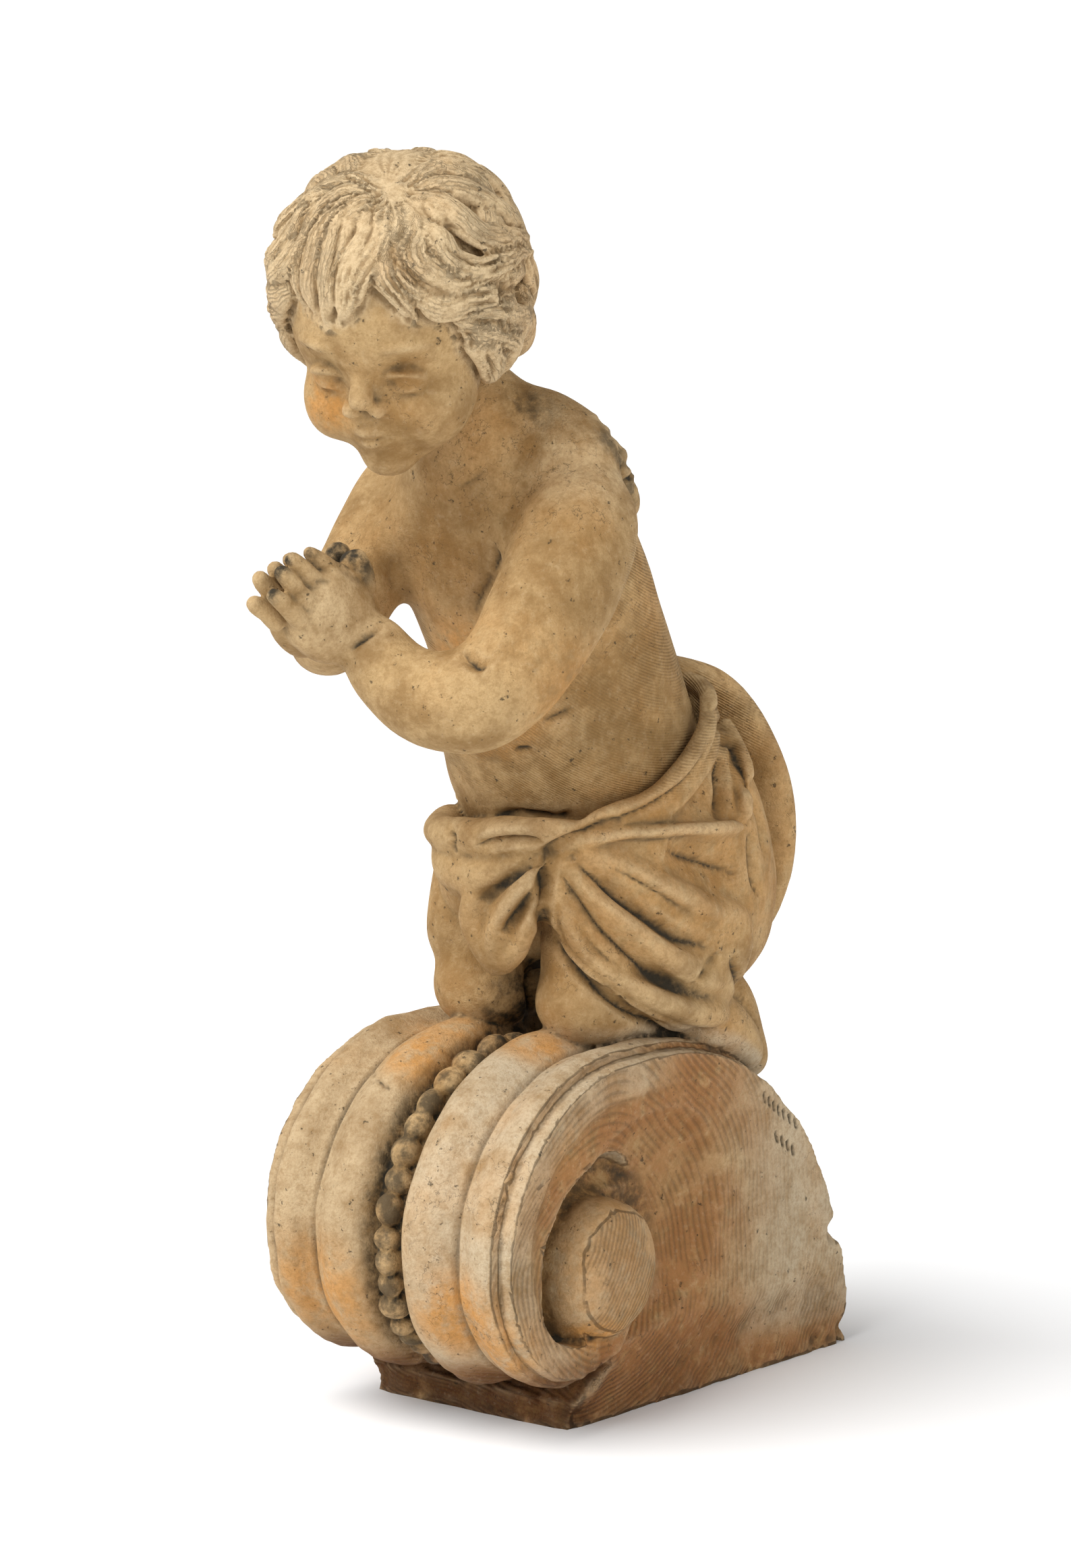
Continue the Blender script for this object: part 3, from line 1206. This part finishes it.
def comb_marks(places, zones, context):
    """Distance across the comb's strokes on scroll, trunk and locks, and where they show."""
    x, y, z = places.T
    reach, flank = zones["reach"], zones["flank"]
    arcs = np.where(reach < 29, 0.8 * y - 0.6 * z, 0.8 * reach) + 5 * ripple(places, 110, 21)
    arcs = np.where(flank > 0.5, arcs, 1.0 * z + 0.2 * x + 4 * ripple(places, 60, 23))
    comb = np.where(z < 176, arcs, 1.9 * (z + 0.35 * y + 0.25 * x) + 14 * ripple(places, 120, 22))
    trunk = smoothstep(z, 262, 290) * (1 - smoothstep(z, 380, 400)) * (1 - smoothstep(-y, 80, 96))
    combed = np.clip(flank * (1 - 0.6 * smoothstep(y, -20, 60)) + zones["foot"] * 0.8 + 0.5 * trunk, 0, 1)
    phase, brink, cover, _, hair = strand_lines(places, context)
    comb = np.where(hair > 0.02, phase * 1.15, comb)
    combed = np.where(hair > 0.02, 0.75 * cover * (1 - smoothstep(brink, 0.75, 0.95)), combed)
    return comb, combed * (1 - zones["sunk"])


def fired_marks(places, normals, context):
    """Where rust, flush, pale clay, grime and comb strokes show."""
    x, y, z = places.T
    zones = bracket_zones(places, normals)
    flank, foot, eye, sunk = (zones[name] for name in ("flank", "foot", "eye", "sunk"))
    knob = zones["knob"] * zones["low"]
    rear = smoothstep(y, -30, 50)
    redder = 1 - smoothstep(y, -20, 60) * smoothstep(z, 4, 24)
    redder *= 1 - 0.7 * (1 - smoothstep(zones["edge"], 12, 24)) * smoothstep(-20 - y, 0, 40)
    hip = smoothstep(z, 190, 215) * (1 - smoothstep(z, 270, 300)) * smoothstep(x, 20, 50)
    flush = spots(places, FLUSH_SPOTS) * (1 - 0.75 * smoothstep(z, 164, 174) * (1 - smoothstep(z, 200, 230)))
    flush = np.maximum(np.maximum(flush, 0.45 * knob), 0.4 * hip)
    patina = np.maximum(spots(places, PATINA_SPOTS), 0.2 * knob * (1 - flank))
    grimy = smoothstep(9 - z, 0, 8) * 0.35 + 0.8 * zones["string"] + 0.08 * foot + 0.75 * sunk
    grimy += spots(places, DIRT_SPOTS) + spots(places, [(*tip, FINGERTIP) for _, tip in FINGERS])
    grimy += 0.7 * spots(places, STUMP_DIRT_SPOTS)
    pale = zones["rolled"] * (0.5 + 0.5 * smoothstep(x, -10, 30))
    pale = np.maximum(np.maximum(pale, flank * (1 - redder) * (1 - eye)), 0.5 * knob)
    comb, combed = comb_marks(places, zones, context)
    return {
        "grimy": np.clip(grimy, 0, 1),
        "rust": np.clip(flank * 0.9 * redder * (1 - 0.8 * eye) + foot * (1 - 0.8 * rear), 0, 1),
        "flush": flush,
        "pale": pale * (1 - sunk),
        "comb": comb,
        "combed": combed,
        "patina": np.maximum(patina, sunk),
        "foot": foot * (0.3 + 0.7 * smoothstep(-70 - y, 0, 14)) * (1 - 0.7 * rear),
        "worn": spots(places, WORN_SPOTS),
    }


def keep_marks(mesh, marks):
    for name, values in marks.items():
        layer = mesh.attributes.new(name, "FLOAT", "POINT")
        layer.data.foreach_set("value", values.astype(np.float32))


class PUTTO_OT_fire(bpy.types.Operator):
    """Joins the clay, tools its surface and fires it as one piece"""

    bl_idname = "putto.fire"
    bl_label = "Fire the figure"

    def execute(self, context):
        sizes = context.scene.putto_clay
        bm = bmesh.new()
        for name in CLAY_PARTS:
            part = bpy.data.objects[name]
            bm.from_mesh(part.data)
            bpy.data.meshes.remove(part.data)
        piece = new_object(PIECE, bm)
        fused(piece, sizes.voxel)
        mesh = piece.data
        edges = edges_of(mesh)
        places = places_of(mesh)
        z = places[:, 2]
        soft = 0.5 - 0.3 * np.maximum(smoothstep(178 - z, 0, 10), smoothstep(z, 430, 440))
        places = relaxed(places, edges, soft, 2)
        set_places(mesh, places)
        normals = normals_of(mesh)
        clay = BVHTree.FromObject(piece, context.evaluated_depsgraph_get())
        for width, height, drawn in DRAWN_STROKES:
            path = laid_on_clay(clay, context.scene.putto_stage, drawn)
            if len(path) > 1:
                stroke(places, normals, path, width, height)
        for width, height, path in BACK_STROKES:
            stroke(places, normals, [clay.find_nearest(point)[0] for point in path], width, height)
        for path in side_marks():
            stroke(places, normals, path, *MARK_CUT)
        for path in toe_lines():
            stroke(places, normals, path, *TOE_CUT)
        chips(places)
        roughen(places, normals)
        set_places(mesh, places)
        normals = normals_of(mesh)
        hair = comb_hair(places, normals, context)
        set_places(mesh, places)
        keep_marks(mesh, hollow_marks(mesh, places, edges, hair))
        thin = piece.modifiers.new("Thin", "DECIMATE")
        thin.ratio = min(1.0, sizes.triangles / (2 * len(mesh.polygons)))
        applied(piece)
        rest_on_floor(piece.data)
        keep_marks(piece.data, fired_marks(places_of(piece.data), normals_of(piece.data), context))
        piece.data.transform(Matrix.Scale(MM, 4))
        piece.data.polygons.foreach_set("use_smooth", np.ones(len(piece.data.polygons), bool))
        piece.data.materials.append(terracotta(context.scene.putto_finish))
        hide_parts("putto_on_scroll")
        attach(piece, "root")
        return {"FINISHED"}


# Finishes


# Distance between the comb's strokes, in millimetres.
COMB_PITCH = 2.3


def add_node(tree, kind, **settings):
    made = tree.nodes.new(kind)
    for key, value in settings.items():
        setattr(made, key, value)
    return made


def feed(tree, socket, value):
    if isinstance(value, bpy.types.NodeSocket):
        tree.links.new(value, socket)
    elif socket.type == "RGBA":
        socket.default_value = (*value, 1.0)
    else:
        socket.default_value = value


def mix(tree, factor, a, b):
    made = add_node(tree, "ShaderNodeMix", data_type="RGBA")
    for index, value in ((0, factor), (6, a), (7, b)):
        feed(tree, made.inputs[index], value)
    return made.outputs[2]


def calc(tree, operation, a, b=0.0, clamp=False):
    made = add_node(tree, "ShaderNodeMath", operation=operation, use_clamp=clamp)
    feed(tree, made.inputs[0], a)
    feed(tree, made.inputs[1], b)
    return made.outputs[0]


def band(tree, value, low, high):
    """0 below low, 1 above high, and smooth between."""
    made = add_node(tree, "ShaderNodeMapRange", interpolation_type="SMOOTHSTEP")
    for index, item in enumerate((value, low, high)):
        feed(tree, made.inputs[index], item)
    return made.outputs[0]


def noise(tree, place, scale, detail=4.0, roughness=0.6):
    made = add_node(tree, "ShaderNodeTexNoise")
    feed(tree, made.inputs["Vector"], place)
    for key, value in (("Scale", scale), ("Detail", detail), ("Roughness", roughness)):
        feed(tree, made.inputs[key], value)
    return made.outputs["Fac"]


def mark(tree, name):
    return add_node(tree, "ShaderNodeAttribute", attribute_name=name).outputs["Fac"]


def times(tree, a, b):
    return calc(tree, "MULTIPLY", a, b)


def tinted(tree, colour, share, amount, tint):
    """The colour mixed with amount of a tint where share is 1."""
    return mix(tree, times(tree, share, amount), colour, tuple(tint))


def terracotta(colours):
    """Unglazed fired clay: buff and ochre with rust, pale wear, specks and dirt in the hollows."""
    material = bpy.data.materials.new("fired_terracotta")
    material.use_nodes = True
    tree = material.node_tree
    shader = tree.nodes["Principled BSDF"]
    place = add_node(tree, "ShaderNodeTexCoord").outputs["Object"]
    cloud = noise(tree, place, 16, 5)
    blotch = noise(tree, place, 45, 6, 0.65)
    streak = noise(tree, place, 110, 5, 0.65)
    grain = noise(tree, place, 900, 4, 0.7)
    speck = noise(tree, place, 240, 3, 0.7)
    fleck = noise(tree, place, 300, 4, 0.7)
    aged = times(tree, mark(tree, "patina"), band(tree, streak, 0.1, 0.7))
    aged = calc(tree, "MAXIMUM", aged, times(tree, band(tree, blotch, 0.40, 0.66), 0.85))
    colour = mix(tree, aged, tuple(colours.buff), tuple(colours.umber))
    colour = tinted(tree, colour, mark(tree, "hair"), 0.7, colours.cream)
    paled = times(tree, mark(tree, "pale"), band(tree, blotch, 0.86, 0.40))
    colour = tinted(tree, colour, paled, 0.9, colours.bloom)
    warm = times(tree, mark(tree, "flush"), band(tree, streak, 0.25, 0.6))
    warm = calc(tree, "MAXIMUM", warm, times(tree, band(tree, cloud, 0.45, 0.75), 0.35))
    colour = tinted(tree, colour, warm, 0.95, colours.ochre)
    rusty = times(tree, mark(tree, "rust"), band(tree, cloud, 0.22, 0.56))
    colour = tinted(tree, colour, rusty, band(tree, streak, 0.2, 0.5), colours.rust)
    sooty = times(tree, mark(tree, "foot"), band(tree, blotch, 0.25, 0.5))
    colour = tinted(tree, colour, sooty, 0.95, colours.peat)
    colour = tinted(tree, colour, mark(tree, "wear"), 0.45, colours.cream)
    worn = times(tree, mark(tree, "worn"), band(tree, blotch, 0.75, 0.35))
    colour = tinted(tree, colour, worn, 0.5, colours.cream)
    colour = tinted(tree, colour, mark(tree, "shade"), 0.7, colours.umber)
    colour = tinted(tree, colour, band(tree, grain, 0.42, 0.66), 0.26, colours.umber)
    colour = tinted(tree, colour, band(tree, fleck, 0.47, 0.64), 0.32, colours.umber)
    colour = tinted(tree, colour, band(tree, fleck, 0.46, 0.30), 0.14, colours.cream)
    colour = tinted(tree, colour, band(tree, grain, 0.40, 0.24), 0.12, colours.cream)
    wave = calc(tree, "SINE", times(tree, mark(tree, "comb"), 2 * math.pi / COMB_PITCH))
    combing = times(tree, mark(tree, "combed"), band(tree, blotch, 0.34, 0.56))
    ridge = times(tree, wave, combing)
    pits = times(tree, band(tree, speck, 0.65, 0.72), 0.75)
    grimy = times(tree, mark(tree, "grimy"), band(tree, streak, 0.35, 0.62))
    dirty = calc(tree, "ADD", mark(tree, "dirt"), grimy)
    dirty = times(tree, dirty, band(tree, streak, 0.15, 0.50))
    vein = calc(tree, "ABSOLUTE", calc(tree, "SUBTRACT", noise(tree, place, 70, 4), 0.5))
    scratch = times(tree, band(tree, vein, 0.007, 0.002), band(tree, cloud, 0.52, 0.60))
    lined = times(tree, band(tree, ridge, -0.1, -0.9), 0.30)
    lined = calc(tree, "MAXIMUM", lined, times(tree, scratch, 0.5))
    dark = calc(tree, "MAXIMUM", calc(tree, "MAXIMUM", pits, dirty), lined, True)
    feed(tree, shader.inputs["Base Color"], mix(tree, dark, colour, tuple(colours.grime)))
    feed(tree, shader.inputs["Roughness"], calc(tree, "ADD", times(tree, blotch, 0.25), 0.62))
    shader.inputs["Specular IOR Level"].default_value = 0.15
    bump = add_node(tree, "ShaderNodeBump")
    bump.inputs["Strength"].default_value = 0.8
    bump.inputs["Distance"].default_value = 0.0009
    relief = calc(tree, "ADD", calc(tree, "SUBTRACT", grain, pits), times(tree, ridge, 0.7))
    relief = calc(tree, "ADD", relief, times(tree, streak, 1.2))
    feed(tree, bump.inputs["Height"], relief)
    feed(tree, shader.inputs["Normal"], bump.outputs["Normal"])
    return material


def floor_finish():
    material = bpy.data.materials.new("pale_floor")
    material.use_nodes = True
    shader = material.node_tree.nodes["Principled BSDF"]
    shader.inputs["Base Color"].default_value = (0.92, 0.92, 0.92, 1)
    shader.inputs["Roughness"].default_value = 0.9
    return material


# The studio: half the floor's width, the world's strength, and both lights.
FLOOR_REACH = 14
WORLD_STRENGTH = 0.38
KEY = {"energy": 3.8, "angle": math.radians(56), "place": (-1.0, -2.2, 2.9)}
FILL = {"energy": 30, "size": 1.6, "place": (2.6, -0.6, 1.2)}


class PUTTO_OT_stage(bpy.types.Operator):
    """Sets the floor, the soft studio light and the camera"""

    bl_idname = "putto.stage"
    bl_label = "Set the stage"

    def execute(self, context):
        scene = context.scene
        stage = scene.putto_stage
        bm = bmesh.new()
        bmesh.ops.create_grid(bm, x_segments=1, y_segments=1, size=FLOOR_REACH)
        floor = new_object("studio_floor", bm)
        floor.data.materials.append(floor_finish())
        floor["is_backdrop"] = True
        world = bpy.data.worlds.new("studio")
        world.use_nodes = True
        world.node_tree.nodes["Background"].inputs["Color"].default_value = (1, 1, 1, 1)
        world.node_tree.nodes["Background"].inputs["Strength"].default_value = WORLD_STRENGTH
        scene.world = world
        scene.view_settings.view_transform = "Standard"
        aim = Vector(stage.aim)
        sun = bpy.data.lights.new("key_light", "SUN")
        sun.energy = KEY["energy"]
        sun.angle = KEY["angle"]
        lamp = bpy.data.lights.new("fill_light", "AREA")
        lamp.energy = FILL["energy"]
        lamp.size = FILL["size"]
        for name, data, spot in (("key_light", sun, KEY["place"]), ("fill_light", lamp, FILL["place"])):
            made = bpy.data.objects.new(name, data)
            made.location = spot
            made.rotation_euler = (aim - Vector(spot)).to_track_quat("-Z", "Y").to_euler()
            scene.collection.objects.link(made)
        camera = bpy.data.cameras.new("camera")
        camera.lens = stage.lens
        camera.sensor_width = SENSOR
        camera.clip_end = 100
        made = bpy.data.objects.new("camera", camera)
        level = math.cos(stage.elevation) * stage.distance
        sideways, forwards = math.sin(stage.azimuth) * level, -math.cos(stage.azimuth) * level
        made.location = aim + Vector((sideways, forwards, math.sin(stage.elevation) * stage.distance))
        made.rotation_euler = (aim - made.location).to_track_quat("-Z", "Y").to_euler()
        scene.collection.objects.link(made)
        scene.camera = made
        return {"FINISHED"}


class PUTTO_PT_panel(bpy.types.Panel):
    """Lists the steps from wet clay to the fired figure"""

    bl_idname = "PUTTO_PT_panel"
    bl_label = "Terracotta Putto"
    bl_space_type = "VIEW_3D"
    bl_region_type = "UI"
    bl_category = "Putto"

    def draw(self, context):
        for operator in OPERATORS:
            self.layout.operator(operator.bl_idname)
        for group in ("putto_clay", "putto_finish", "putto_stage"):
            settings = getattr(context.scene, group)
            for name in settings.bl_rna.properties.keys():
                if name not in ("rna_type", "name"):
                    self.layout.prop(settings, name)


OPERATORS = (PUTTO_OT_bracket, PUTTO_OT_body, PUTTO_OT_head, PUTTO_OT_cloth, PUTTO_OT_fire, PUTTO_OT_stage)
CLASSES = (ClaySettings, FinishSettings, StageSettings, *OPERATORS, PUTTO_PT_panel)


def register():
    for item in CLASSES:
        bpy.utils.register_class(item)
    bpy.types.Scene.putto_clay = bpy.props.PointerProperty(type=ClaySettings)
    bpy.types.Scene.putto_finish = bpy.props.PointerProperty(type=FinishSettings)
    bpy.types.Scene.putto_stage = bpy.props.PointerProperty(type=StageSettings)


def unregister():
    del bpy.types.Scene.putto_stage
    del bpy.types.Scene.putto_finish
    del bpy.types.Scene.putto_clay
    for item in reversed(CLASSES):
        bpy.utils.unregister_class(item)


def main():
    register()
    bpy.ops.putto.bracket()
    bpy.ops.putto.body()
    bpy.ops.putto.head()
    bpy.ops.putto.cloth()
    bpy.ops.putto.fire()
    bpy.ops.putto.stage()
    boxes = {"cad": CAD_BOX, "visual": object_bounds()}
    {key: [list(corner) for corner in corners] for key, corners in boxes.items()}


if __name__ == "__main__":
    main()
